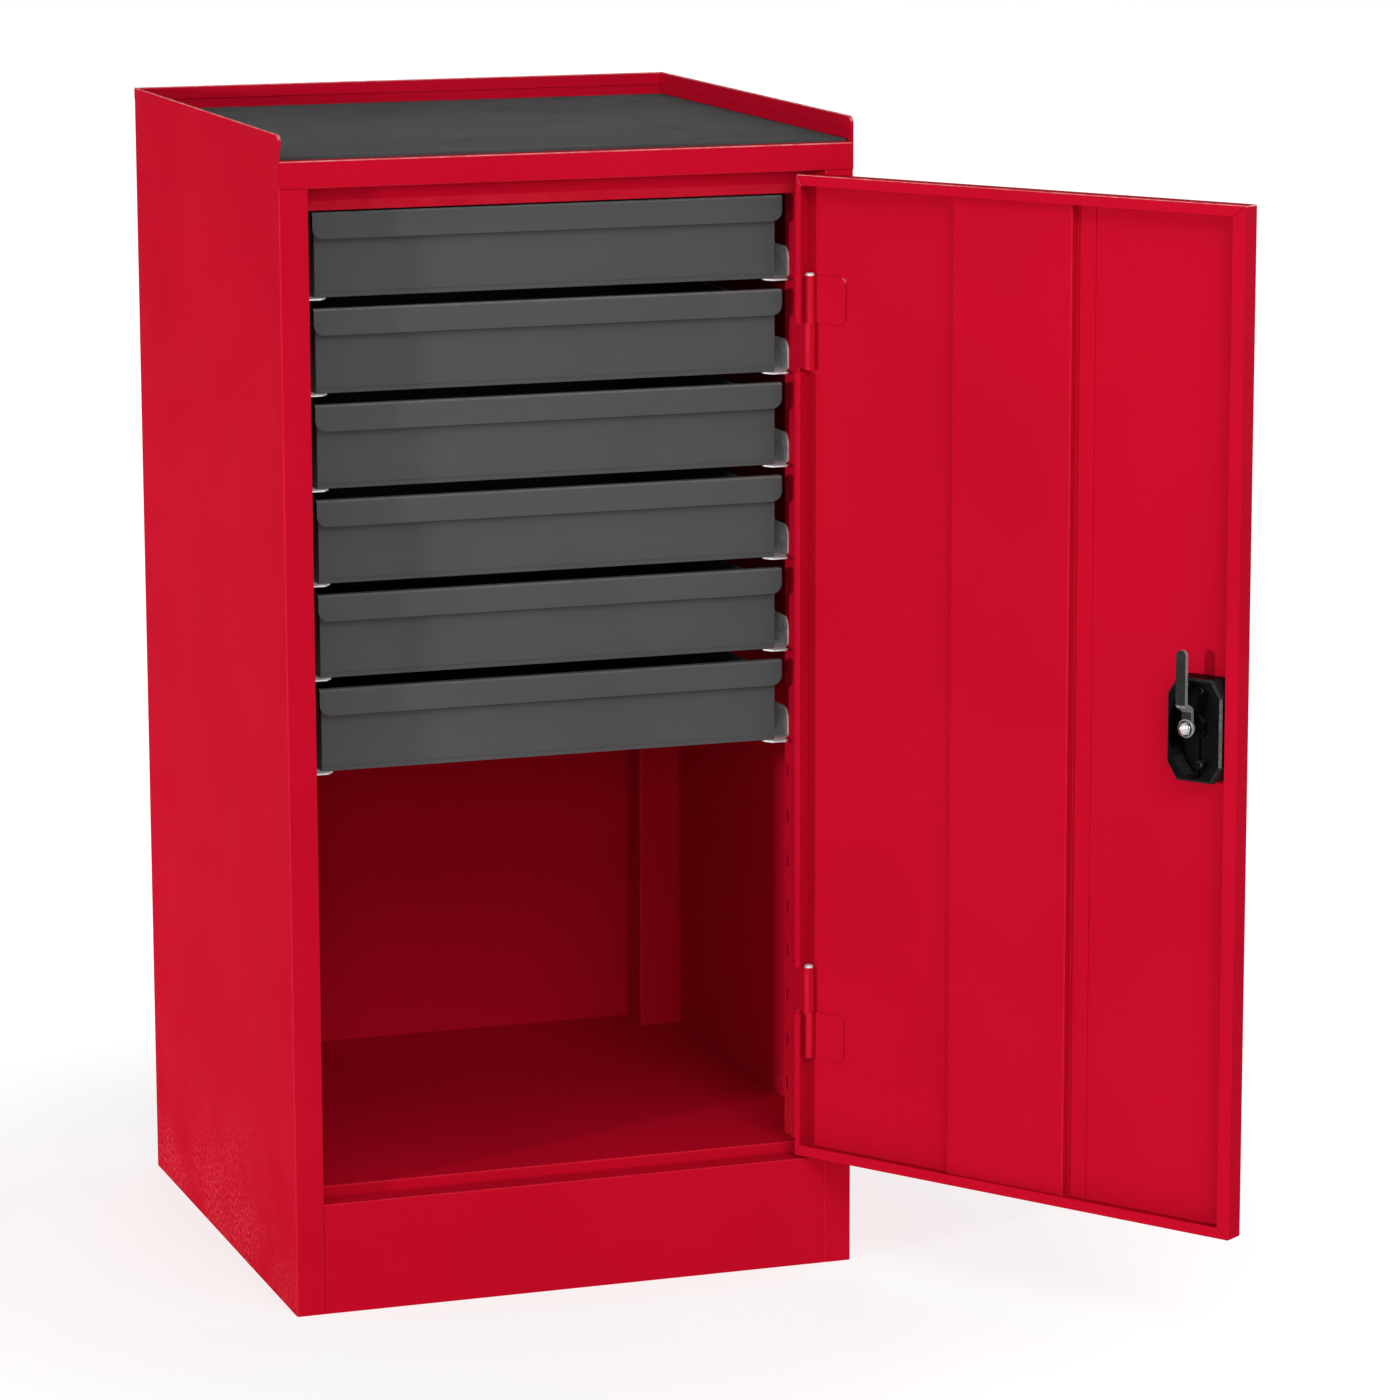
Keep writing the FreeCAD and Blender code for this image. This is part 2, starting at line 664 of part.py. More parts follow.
def lock_block(x0, x1, z0, z1, y0, y1):
    """A block placed from the spindle's axis."""
    return block(LOCK_X + x0, LOCK_X + x1, y0, y1, LOCK_Z + z0, LOCK_Z + z1)


def lock_bezel():
    """Outer half: flange on the door's face, a plug that fills the cut-out and a collar."""
    face = FRONT - BEZEL_T
    flange = octagon(-BEZEL_MARGIN, face, FRONT)
    rim = [e for e in flange.Edges if e.BoundBox.YMax < face + 0.1]
    flange = flange.makeChamfer(BEZEL_T / 2, rim)
    plug = octagon(CUTOUT_INSET + BEZEL_GAP, FRONT, PLUG_BACK)
    collar = lock_rod(COLLAR_R, face - COLLAR_T, face)
    return fuse([flange, plug, collar]).cut(lock_rod(SPINDLE_R + PIN_CLEAR, GRIP_BACK, POCKET_BACK))


def lock_housing():
    """Inner half: chamfered box with an oval dish, a boss for the spindle, ribs and screw pads."""
    base = FRONT + SHEET
    box = octagon(0, base, HOUSING_BACK)
    rim = [e for e in box.Edges if e.BoundBox.YMin > HOUSING_BACK - 0.1]
    box = box.makeChamfer(HOUSING_EDGE, rim)
    pocket = octagon(CUTOUT_INSET, base - 1, POCKET_BACK)
    shell = cut(box, [pocket, oval(WEB_BACK, HOUSING_BACK + 1)])
    low = HOUSING_Z - DISH_H / 2 - LOCK_Z
    pieces = [
        shell,
        lock_rod(BOSS_R, WEB_BACK, BOSS_BACK),
        lock_block(RIB_X, RIB_X + RIB_W, low, -BOSS_R + RIB_T, WEB_BACK, WEB_BACK + RIB_T),
        lock_block(HOUSING_X - DISH_W / 2 - LOCK_X, -BOSS_R + RIB_T, -1, 1, WEB_BACK, WEB_BACK + RIB_T),
    ]
    for z in (-SCREW_PAD_Z, SCREW_PAD_Z):
        pieces.append(lock_rod(SCREW_PAD_R, WEB_BACK, BOSS_BACK, HOUSING_X - LOCK_X, z))
    return fuse(pieces).cut(lock_rod(SPINDLE_R + PIN_CLEAR, FRONT, BOSS_BACK + 1))


def handle_grip():
    """Turning grip on the collar: round hub and bevelled bar, bored for the cylinder."""
    hub = lock_rod(GRIP_HUB_R, GRIP_BACK - GRIP_HUB_T, GRIP_BACK)
    half_w, half_l = GRIP_BAR_W / 2, GRIP_BAR_L / 2
    bar = lock_block(-half_w, half_w, -half_l, half_l, GRIP_FRONT, GRIP_FRONT + GRIP_BAR_T)
    upright_edges = [e for e in bar.Edges if e.BoundBox.YLength > GRIP_BAR_T - 0.1]
    bar = bar.makeChamfer(GRIP_CORNER, upright_edges)
    rim = [e for e in bar.Edges if e.BoundBox.YMax < GRIP_FRONT + 0.1]
    grip = fuse([bar.makeChamfer(GRIP_CHAMFER, rim), hub])
    return grip.cut(lock_rod(PLUG_R + PIN_CLEAR, GRIP_FRONT - 1, GRIP_FRONT + PLUG_DEPTH))


def lock_cylinder():
    """Key plug with its keyway."""
    front = GRIP_FRONT - PLUG_PROUD
    plug = lock_rod(PLUG_R, front, GRIP_FRONT + PLUG_DEPTH - 0.1)
    half_w, half_l = KEYWAY_W / 2, KEYWAY_L / 2
    return plug.cut(lock_block(-half_w, half_w, -half_l, half_l, front - 1, front + KEYWAY_D))


def lock_spindle():
    """Shaft from the grip through both halves, with a shoulder and a square end for the lever."""
    half = SQUARE / 2
    shaft = lock_rod(SPINDLE_R, GRIP_BACK, LEVER_ROOT)
    shoulder = lock_rod(SHOULDER_R, BOSS_BACK + GRIP_GAP, LEVER_ROOT)
    square = lock_block(-half, half, -half, half, LEVER_ROOT, LEVER_ROOT + LEVER_T)
    bore = lock_rod(THREAD_R, LEVER_ROOT - THREAD_L, LEVER_ROOT + LEVER_T + 1)
    return fuse([shaft, shoulder, square]).cut(bore)


def cam_lever():
    """Flat lever cranked out of the dish; its tip hooks behind the lip of the left stile."""
    root_back = LEVER_ROOT + LEVER_T
    path = [
        (root_back, LOCK_Z - LEVER_HEEL_R),
        (root_back, LOCK_Z + LEVER_CRANK[0]),
        (LEVER_BACK, LOCK_Z + LEVER_CRANK[1]),
        (LEVER_BACK, LOCK_Z + LEVER_REACH),
    ]
    x0, x1 = LOCK_X - LEVER_HEEL_R, LOCK_X + LEVER_HEEL_R
    strip = bent_sheet("yz", path, 1, x0, x1, t=LEVER_T, inner_r=1.0)
    half = LEVER_W / 2
    y0, y1 = LEVER_ROOT - 1, LEVER_BACK + 1
    tip_z = LEVER_REACH - half
    outline = fuse(
        [
            lock_rod(LEVER_HEEL_R, y0, y1),
            lock_block(-half, half, 0, tip_z, y0, y1),
            lock_rod(half, y0, y1, 0, tip_z),
        ]
    )
    side = SQUARE / 2
    return strip.common(outline).cut(lock_block(-side, side, -side, side, y0, root_back + 1))


def cabinet_parts():
    parts = {
        "side_panel_left": side_panel(-1),
        "side_panel_right": side_panel(1),
        "back_panel": back_panel(),
        "top_panel": top_panel(),
        "top_mat": top_mat(),
        "plinth_front": plinth_front(),
        "base_frame": base_frame(),
        "bay_floor": bay_floor(),
        "upright_front_left": upright(-1, LEFT_FACE, LEFT_UPRIGHT_Y, LEFT_UPRIGHT_DEPTH, FRONT_SLOT_Y),
        "upright_front_right": upright(1, RIGHT_FACE, RIGHT_UPRIGHT_Y, UPRIGHT_DEPTH, FRONT_SLOT_Y),
        "upright_rear_left": upright(-1, LEFT_FACE, REAR_UPRIGHT_Y, UPRIGHT_DEPTH, REAR_SLOT_Y),
        "upright_rear_right": upright(1, RIGHT_FACE, REAR_UPRIGHT_Y, UPRIGHT_DEPTH, REAR_SLOT_Y),
    }
    for name, side in (("left", -1), ("right", 1)):
        rails = [drawer_rail(side, drawer_base(number)) for number in range(DRAWERS)]
        parts["drawer_rails_" + name] = Part.makeCompound(rails)
    parts["frame_hinge_leaves"] = Part.makeCompound([frame_leaf(0), frame_leaf(1)])
    parts["hinge_pins"] = Part.makeCompound([hinge_pin(0), hinge_pin(1)])
    return parts


def door_parts():
    parts = {
        "door_panel": door_panel(),
        "door_stiffener": door_stiffener(),
        "lock_bezel": lock_bezel(),
        "lock_housing": lock_housing(),
        "handle_grip": handle_grip(),
        "lock_cylinder": lock_cylinder(),
        "lock_spindle": lock_spindle(),
        "cam_lever": cam_lever(),
        "door_hinge_leaves": Part.makeCompound([door_leaf(0), door_leaf(1)]),
    }
    for shape in parts.values():
        shape.rotate(pin_axis(0), Z_AXIS, DOOR_OPEN_DEG)
    return parts


def drawer_base(number):
    """Height of the underside of a drawer's rails, counted from the top drawer."""
    return RAIL_BASE_Z - DRAWER_PITCH * number


def drawer_parts():
    parts = {}
    for number in range(DRAWERS):
        base = drawer_base(number)
        parts["drawer_%d_tray" % (number + 1)] = drawer_tray(base)
        parts["drawer_%d_guides" % (number + 1)] = drawer_guides(base)
        parts["drawer_%d_front" % (number + 1)] = drawer_front(base)
    return parts


def main():
    os.makedirs("parts", exist_ok=True)
    for group in (cabinet_parts(), door_parts(), drawer_parts()):
        for name, shape in group.items():
            assert shape.isValid(), name
            shape.exportStep("parts/%s.step" % name)
            print(name, len(shape.Solids), "solids", round(shape.Volume / 1000, 1), "cm3")


main()
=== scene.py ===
"""Looks of the drawer tool cabinet: powder-coated sheet steel, ribbed mat, black plastic lock.

Metres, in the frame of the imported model: +X right, +Y back, +Z up, origin on the floor.
Pieces that this script adds are drawn in millimetres. Those of the door and its lock are
drawn with the door shut and then turned about the hinge to its open rest.
"""
import json
import math

import bmesh
import bpy
from mathutils import Matrix, Vector

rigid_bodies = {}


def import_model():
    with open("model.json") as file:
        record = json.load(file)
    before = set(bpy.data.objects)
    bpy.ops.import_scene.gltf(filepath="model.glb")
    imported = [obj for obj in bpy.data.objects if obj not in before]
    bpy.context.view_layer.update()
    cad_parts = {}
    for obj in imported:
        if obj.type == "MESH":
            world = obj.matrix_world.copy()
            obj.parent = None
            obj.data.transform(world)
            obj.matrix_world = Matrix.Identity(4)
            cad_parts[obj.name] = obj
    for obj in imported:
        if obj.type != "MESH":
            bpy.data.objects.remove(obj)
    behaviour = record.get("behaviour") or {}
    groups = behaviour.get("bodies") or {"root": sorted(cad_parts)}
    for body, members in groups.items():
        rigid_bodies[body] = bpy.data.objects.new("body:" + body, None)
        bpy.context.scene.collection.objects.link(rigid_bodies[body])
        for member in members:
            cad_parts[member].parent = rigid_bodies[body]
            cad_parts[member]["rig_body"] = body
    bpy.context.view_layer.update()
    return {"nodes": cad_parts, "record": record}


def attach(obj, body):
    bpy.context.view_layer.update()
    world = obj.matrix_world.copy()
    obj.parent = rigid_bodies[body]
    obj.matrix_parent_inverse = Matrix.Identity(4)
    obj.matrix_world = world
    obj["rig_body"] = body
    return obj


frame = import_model()

IMAGE_PIXELS = 1400
MM = 0.001

LEFT = Vector((-1, 0, 0))
RIGHT = Vector((1, 0, 0))
BACK = Vector((0, 1, 0))
UP = Vector((0, 0, 1))

# Camera, solved from the cabinet's corners: metres, degrees, and focal length in pixels
CAMERA_POS = (-1.3934, -4.5922, 1.4054)
CAMERA_YAW = 19.121
CAMERA_PITCH = 11.043
CAMERA_ROLL = -0.134
CAMERA_REACH = 60.0
FOCAL_PIXELS = 5507.6
SENSOR_MM = 36.0

# Door: hinge axis, opening angle, and the ways its inner face and free edge look when open
HINGE = Vector((0.213, -0.244, 0.0))
DOOR_OPEN = math.radians(124.0)
DOOR_ROTATION = Matrix.Rotation(DOOR_OPEN, 4, "Z")
DOOR_TURN = Matrix.Translation(HINGE) @ DOOR_ROTATION @ Matrix.Translation(-HINGE)
DOOR_BODIES = ("door", "lock_handle")
OPEN_INNER = DOOR_ROTATION.to_3x3() @ BACK
OPEN_EDGE = (OPEN_INNER + DOOR_ROTATION.to_3x3() @ LEFT).normalized()


# Node graphs

class Graph:
    """Adds nodes to a tree and hands back their outputs."""

    def __init__(self, tree):
        self.tree = tree

    def node(self, kind, **values):
        """A node whose inputs take the values; an underscore in a name stands for a space."""
        made = self.tree.nodes.new(kind)
        for socket, value in values.items():
            made.inputs[socket.replace("_", " ")].default_value = value
        return made

    def link(self, output, target):
        """Joins an output to an input."""
        self.tree.links.new(output, target)

    def math(self, operation, *inputs):
        """A math node whose inputs are outputs of other nodes or plain numbers."""
        made = self.node("ShaderNodeMath")
        made.operation = operation
        for socket, value in zip(made.inputs, inputs):
            if isinstance(value, float):
                socket.default_value = value
            else:
                self.link(value, socket)
        return made.outputs[0]

    def product(self, first, *others):
        """All factors multiplied."""
        for factor in others:
            first = self.math("MULTIPLY", first, factor)
        return first

    def inverse(self, factor):
        """One less the factor."""
        return self.math("SUBTRACT", 1.0, factor)

    def along(self, vector, direction):
        """Length of a vector output along a fixed direction."""
        made = self.node("ShaderNodeVectorMath")
        made.operation = "DOT_PRODUCT"
        made.inputs[1].default_value = direction
        self.link(vector, made.inputs[0])
        return made.outputs["Value"]

    def spread(self, factor, values=(0.0, 1.0), band=(0.0, 1.0), smooth=False):
        """Maps a band of the factor onto a range of values."""
        low, high = values
        start, end = band
        made = self.node("ShaderNodeMapRange", From_Min=start, From_Max=end, To_Min=low, To_Max=high)
        if smooth:
            made.interpolation_type = "SMOOTHSTEP"
        self.link(factor, made.inputs["Value"])
        return made.outputs["Result"]

    def mix(self, kind, factor, base, layer):
        """A plain value laid over an output by a factor; kind is FLOAT or RGBA."""
        made = self.node("ShaderNodeMix")
        made.data_type = kind
        self.link(factor, made.inputs["Factor"])
        self.link(base, made.inputs["A"])
        made.inputs["B"].default_value = layer
        return made.outputs["Result"]

    def coordinates(self, name):
        """One output of a texture coordinate node."""
        return self.node("ShaderNodeTexCoord").outputs[name]


class Shader(Graph):
    """A material with one Principled shader."""

    # Largest part of the normal: flats lie above this band, bends and chamfers below
    FOLD_BAND = (0.86, 0.985)

    def __init__(self, name, **values):
        self.material = bpy.data.materials.new(name)
        self.material.use_nodes = True
        super().__init__(self.material.node_tree)
        self.bsdf = self.tree.nodes["Principled BSDF"]
        for socket, value in values.items():
            self.bsdf.inputs[socket.replace("_", " ")].default_value = value
        self.coords = self.coordinates("Object")
        self.normal = self.coordinates("Normal")
        self.bumped = None

    def height(self):
        """Height above the floor, in metres."""
        parts = self.node("ShaderNodeSeparateXYZ")
        self.link(self.coords, parts.inputs["Vector"])
        return parts.outputs["Z"]

    def stretched(self, scale):
        """Coordinates scaled by axis, for grain that runs one way."""
        made = self.node("ShaderNodeMapping", Scale=scale)
        self.link(self.coords, made.inputs["Vector"])
        return made.outputs["Vector"]

    def noise(self, scale, detail, coords=None):
        """Noise with so many waves to the metre."""
        made = self.node("ShaderNodeTexNoise", Scale=scale, Detail=detail)
        self.link(coords or self.coords, made.inputs["Vector"])
        return made.outputs["Fac"]

    def mottle(self, scale, detail, values=(0.0, 1.0), band=(0.0, 1.0)):
        """Noise whose band is mapped onto a range of values."""
        return self.spread(self.noise(scale, detail), values, band)

    def ramp(self, factor, colours, band):
        """Blend of two colours over a band of the factor."""
        made = self.node("ShaderNodeValToRGB")
        for element, position, colour in zip(made.color_ramp.elements, band, colours):
            element.position = position
            element.color = colour
        self.link(factor, made.inputs["Fac"])
        return made.outputs["Color"]

    def over(self, factor, base, layer):
        """A plain colour laid over another by a factor."""
        return self.mix("RGBA", factor, base, layer)

    def folds(self, turn):
        """One on bends and chamfers, nothing on flats that are turned by an angle about Z."""
        rotated = self.node("ShaderNodeVectorRotate", Angle=-turn)
        rotated.rotation_type = "Z_AXIS"
        self.link(self.normal, rotated.inputs["Vector"])
        parts = self.node("ShaderNodeSeparateXYZ")
        self.link(rotated.outputs["Vector"], parts.inputs["Vector"])
        x, y, z = (self.math("ABSOLUTE", output) for output in parts.outputs)
        largest = self.math("MAXIMUM", self.math("MAXIMUM", x, y), z)
        return self.spread(largest, values=(1.0, 0.0), band=self.FOLD_BAND)

    def facing(self, direction, band):
        """One where the surface faces a direction of the part, nothing where it turns away."""
        return self.spread(self.along(self.normal, direction), band=band)

    def colour(self, output):
        """Sets the base colour."""
        self.link(output, self.bsdf.inputs["Base Color"])

    def roughness(self, output):
        """Sets the roughness."""
        self.link(output, self.bsdf.inputs["Roughness"])

    def bump(self, height, strength, depth):
        """Adds a bump over the ones before it; its depth is in metres."""
        made = self.node("ShaderNodeBump", Strength=strength, Distance=depth)
        self.link(height, made.inputs["Height"])
        if self.bumped is not None:
            self.link(self.bumped, made.inputs["Normal"])
        self.bumped = made.outputs["Normal"]
        self.link(self.bumped, self.bsdf.inputs["Normal"])


# Finishes. Colours are linear.

# In each coat, edge is a painted highlight on all folds, the colour after it a stronger painted
# highlight on upper folds, and the last colour a painted sheen of the floor low on the side panels
RED_COAT = {
    "base": (0.520, 0.0042, 0.0220, 1.0),
    "deep": (0.492, 0.0036, 0.0200, 1.0),
    "edge": (0.62, 0.020, 0.040, 1.0),
    "fold_highlight": (0.92, 0.48, 0.48, 1.0),
    "floor_sheen": (0.66, 0.055, 0.075, 1.0),
    "grain": 900.0,
    "roughness": 0.45,
    "specular": 0.001,
}
GREY_COAT = {
    "base": (0.070, 0.073, 0.074, 1.0),
    "deep": (0.062, 0.065, 0.066, 1.0),
    "edge": (0.13, 0.13, 0.13, 1.0),
    "fold_highlight": (0.16, 0.16, 0.16, 1.0),
    "floor_sheen": (0.13, 0.13, 0.13, 1.0),
    "grain": 1500.0,
    "roughness": 0.55,
    "specular": 0.2,
}
ZINC_LIGHT = (0.88, 0.90, 0.91, 1.0)
ZINC_DARK = (0.66, 0.68, 0.69, 1.0)
RUBBER = (0.055, 0.056, 0.057, 1.0)
RUBBER_DARK = (0.043, 0.044, 0.045, 1.0)
PLASTIC = (0.0018, 0.0018, 0.0019, 1.0)
PLASTIC_GREY = (0.0030, 0.0030, 0.0030, 1.0)
# Painted highlights of the black plastic: grey on its edges and chamfers, brighter on the chamfer
# that faces the door's free edge
PLASTIC_EDGE = (0.030, 0.030, 0.030, 1.0)
PLASTIC_SHINE = (0.130, 0.130, 0.130, 1.0)
LEVER_BLACK = (0.010, 0.0105, 0.0098, 1.0)
LEVER_WORN = (0.022, 0.022, 0.0205, 1.0)
# Painted highlight on the lever's sides and bends
LEVER_EDGE = (0.46, 0.465, 0.45, 1.0)
NICKEL = (0.66, 0.65, 0.64, 1.0)
NICKEL_DARK = (0.40, 0.39, 0.38, 1.0)
# Painted shade on the nickel's flanks
NICKEL_FLANK_SHADE = (0.20, 0.20, 0.20, 1.0)

# Heights in metres over which the paint's painted floor sheen fades out and the painted highlight on
# its folds fades in
SHEEN_FADE = (0.03, 0.17)
HIGHLIGHT_FADE = (0.5, 0.9)
# The rims stand above this band of heights, and the painted highlight on their folds is weaker there
RIM_BAND = (0.955, 0.97)
RIM_HIGHLIGHT = 0.55

# Bands of the cosine between a surface and the direction it is asked to face
SIDEWAYS = (0.9, 0.97)
UPWARD = (0.1, 0.4)
LEVER_FLAT = (0.35, 0.6)
NICKEL_FLAT = (0.3, 0.7)
FREE_EDGE = (0.93, 0.985)

# Orange peel of the paint: its coarse waves to one fine wave, and its spread of roughness
PEEL_COARSE = 0.22
PEEL_GLOSS = (-0.05, 0.07)


def painted_floor_sheen(s, height):
    """Share of a speckled painted sheen of the floor, low on the side panels."""
    sides = s.math("MAXIMUM", s.facing(LEFT, SIDEWAYS), s.facing(RIGHT, SIDEWAYS))
    near_floor = s.spread(height, values=(1.0, 0.0), band=SHEEN_FADE)
    patches = s.mottle(9.0, detail=2.0, band=(0.4, 0.6))
    specks = s.mottle(260.0, detail=5.0, values=(0.0, 0.9), band=(0.48, 0.66))
    return s.product(near_floor, sides, patches, specks)


def painted_fold_highlight(s, height, folds):
    """Share of a painted highlight on the upper side of the folds, high on the cabinet."""
    rising = s.spread(height, band=HIGHLIGHT_FADE)
    below_rims = s.spread(height, values=(1.0, RIM_HIGHLIGHT), band=RIM_BAND)
    broken = s.mottle(110.0, detail=3.0, values=(0.45, 1.0), band=(0.4, 0.6))
    return s.product(folds, s.math("MINIMUM", rising, below_rims), s.facing(UP, UPWARD), broken)


def powder_coat(name, coat, turn=0.0):
    """Powder coat: orange peel, slow drifts of tone and gloss, painted highlights on its folds and a
    painted floor sheen low on its sides.
    """
    s = Shader(name, IOR=1.45, Specular_IOR_Level=coat["specular"])
    height = s.height()
    folds = s.folds(turn)
    drift = s.ramp(s.noise(5.0, detail=2.0), (coat["deep"], coat["base"]), band=(0.35, 0.6))
    # Painted sheen of the floor, speckled, low on the side panels
    with_floor_sheen = s.over(painted_floor_sheen(s, height), drift, coat["floor_sheen"])
    # Painted highlights: a mottled one on all folds, and a stronger one on the upper side of the
    # folds high on the cabinet
    fold_glint = s.product(folds, s.mottle(60.0, detail=3.0, values=(0.25, 0.7), band=(0.3, 0.7)))
    with_fold_glint = s.over(fold_glint, with_floor_sheen, coat["edge"])
    s.colour(s.over(painted_fold_highlight(s, height, folds), with_fold_glint, coat["fold_highlight"]))
    gloss = [coat["roughness"] + change for change in PEEL_GLOSS]
    s.roughness(s.mottle(14.0, detail=4.0, values=gloss, band=(0.3, 0.7)))
    s.bump(s.noise(coat["grain"], detail=2.0), strength=0.22, depth=0.00008)
    s.bump(s.noise(coat["grain"] * PEEL_COARSE, detail=1.0), strength=0.12, depth=0.0002)
    return s.material


def galvanised():
    """Zinc coating with crystals of different brightness and fine drawing marks."""
    s = Shader("galvanised_steel", Metallic=0.22, IOR=1.5, Specular_IOR_Level=0.3)
    crystals = s.node("ShaderNodeTexVoronoi", Scale=190.0, Randomness=1.0)
    s.link(s.coords, crystals.inputs["Vector"])
    grey = s.node("ShaderNodeRGBToBW")
    s.link(crystals.outputs["Color"], grey.inputs["Color"])
    brightness = grey.outputs["Val"]
    s.colour(s.ramp(brightness, (ZINC_DARK, ZINC_LIGHT), band=(0.2, 0.8)))
    s.roughness(s.spread(brightness, values=(0.38, 0.55)))
    drawn = s.stretched((1.0, 0.03, 1.0))
    s.bump(s.noise(700.0, detail=3.0, coords=drawn), strength=0.15, depth=0.00005)
    s.bump(s.noise(60.0, detail=2.0), strength=0.1, depth=0.0003)
    return s.material


def ribbed_rubber():
    """Dull rubber, dusty in patches."""
    s = Shader("ribbed_rubber_mat", IOR=1.5, Specular_IOR_Level=0.2)
    s.colour(s.ramp(s.noise(22.0, detail=6.0), (RUBBER_DARK, RUBBER), band=(0.35, 0.65)))
    s.roughness(s.mottle(300.0, detail=3.0, values=(0.68, 0.88)))
    s.bump(s.noise(2600.0, detail=2.0), strength=0.25, depth=0.00006)
    return s.material


def moulded_plastic():
    """Black plastic with a fine spark-eroded grain, with painted highlights on its edges and on its
    free-edge chamfer.
    """
    s = Shader("black_moulded_plastic", IOR=1.5, Specular_IOR_Level=0.03)
    body = s.ramp(s.noise(90.0, detail=4.0), (PLASTIC, PLASTIC_GREY), band=(0.4, 0.65))
    patchy = s.mottle(400.0, detail=3.0, values=(0.5, 0.95), band=(0.3, 0.7))
    # Painted highlights: grey on the edges and chamfers, brighter on the chamfer that faces the free
    # edge
    edge_highlight = s.over(s.product(s.folds(DOOR_OPEN), patchy), body, PLASTIC_EDGE)
    free_edge = s.product(s.facing(OPEN_EDGE, FREE_EDGE), patchy)
    s.colour(s.over(free_edge, edge_highlight, PLASTIC_SHINE))
    s.roughness(s.mottle(240.0, detail=3.0, values=(0.30, 0.44)))
    s.bump(s.noise(2800.0, detail=2.0), strength=0.2, depth=0.00003)
    return s.material


def blackened_steel():
    """Blackened lever, greyer in worn patches, with a painted highlight on its sides and bends."""
    s = Shader("blackened_steel", Metallic=0.3, IOR=1.5, Specular_IOR_Level=0.15)
    body = s.ramp(s.noise(160.0, detail=6.0), (LEVER_BLACK, LEVER_WORN), band=(0.48, 0.72))
    # Painted highlight on the sides and bends, where the lever turns away from its flat faces
    flat = s.math("MAXIMUM", s.facing(OPEN_INNER, LEVER_FLAT), s.facing(-OPEN_INNER, LEVER_FLAT))
    bends = s.product(s.folds(DOOR_OPEN), 0.9)
    patchy = s.mottle(500.0, detail=3.0, values=(0.4, 1.0), band=(0.3, 0.7))
    edge_highlight = s.product(s.math("MAXIMUM", s.inverse(flat), bends), patchy)
    s.colour(s.over(edge_highlight, body, LEVER_EDGE))
    s.roughness(s.mottle(420.0, detail=3.0, values=(0.34, 0.52)))
    s.bump(s.noise(1800.0, detail=4.0), strength=0.3, depth=0.00005)
    return s.material


def nickel_plate():
    """Nickel plate in random tones of polish, with painted shade on its flanks that turn away from
    the lock's face.
    """
    s = Shader("nickel_plate", Metallic=1.0)
    polished = s.ramp(s.noise(500.0, detail=4.0), (NICKEL_DARK, NICKEL), band=(0.3, 0.6))
    # Painted shade on the flanks that turn away from the lock's face
    s.colour(s.over(s.inverse(s.facing(OPEN_INNER, NICKEL_FLAT)), polished, NICKEL_FLANK_SHADE))
    s.roughness(s.mottle(900.0, detail=2.0, values=(0.16, 0.28)))
    s.bump(s.noise(2400.0, detail=2.0), strength=0.08, depth=0.00003)
    return s.material


MATERIALS = {
    "powder_red": powder_coat("red_powder_coat", RED_COAT),
    "drawer_grey": powder_coat("grey_powder_coat", GREY_COAT),
    "galvanised": galvanised(),
    "ribbed_rubber": ribbed_rubber(),
    "black_plastic": moulded_plastic(),
    "black_steel": blackened_steel(),
    "plated": nickel_plate(),
}
DOOR_RED = powder_coat("red_powder_coat_door", RED_COAT, DOOR_OPEN)


def finish_for(body, slot):
    """The material of a slot; the door's paint counts folds from the open door's flats."""
    if slot == "powder_red" and body == "door":
        return DOOR_RED
    return MATERIALS[slot]


def finish_cad_nodes():
    """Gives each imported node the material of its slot."""
    for part in frame["record"]["subparts"]:
        node = frame["nodes"][part["node"]]
        node.data.materials.clear()
        node.data.materials.append(finish_for(node["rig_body"], part["material_slot"]))


# Drawing

# Degrees between two faces above which their edge stays sharp
CREASED = 35.0
ROUNDED = 60.0
FACETED = 28.0
BEVEL_SEGMENTS = 3


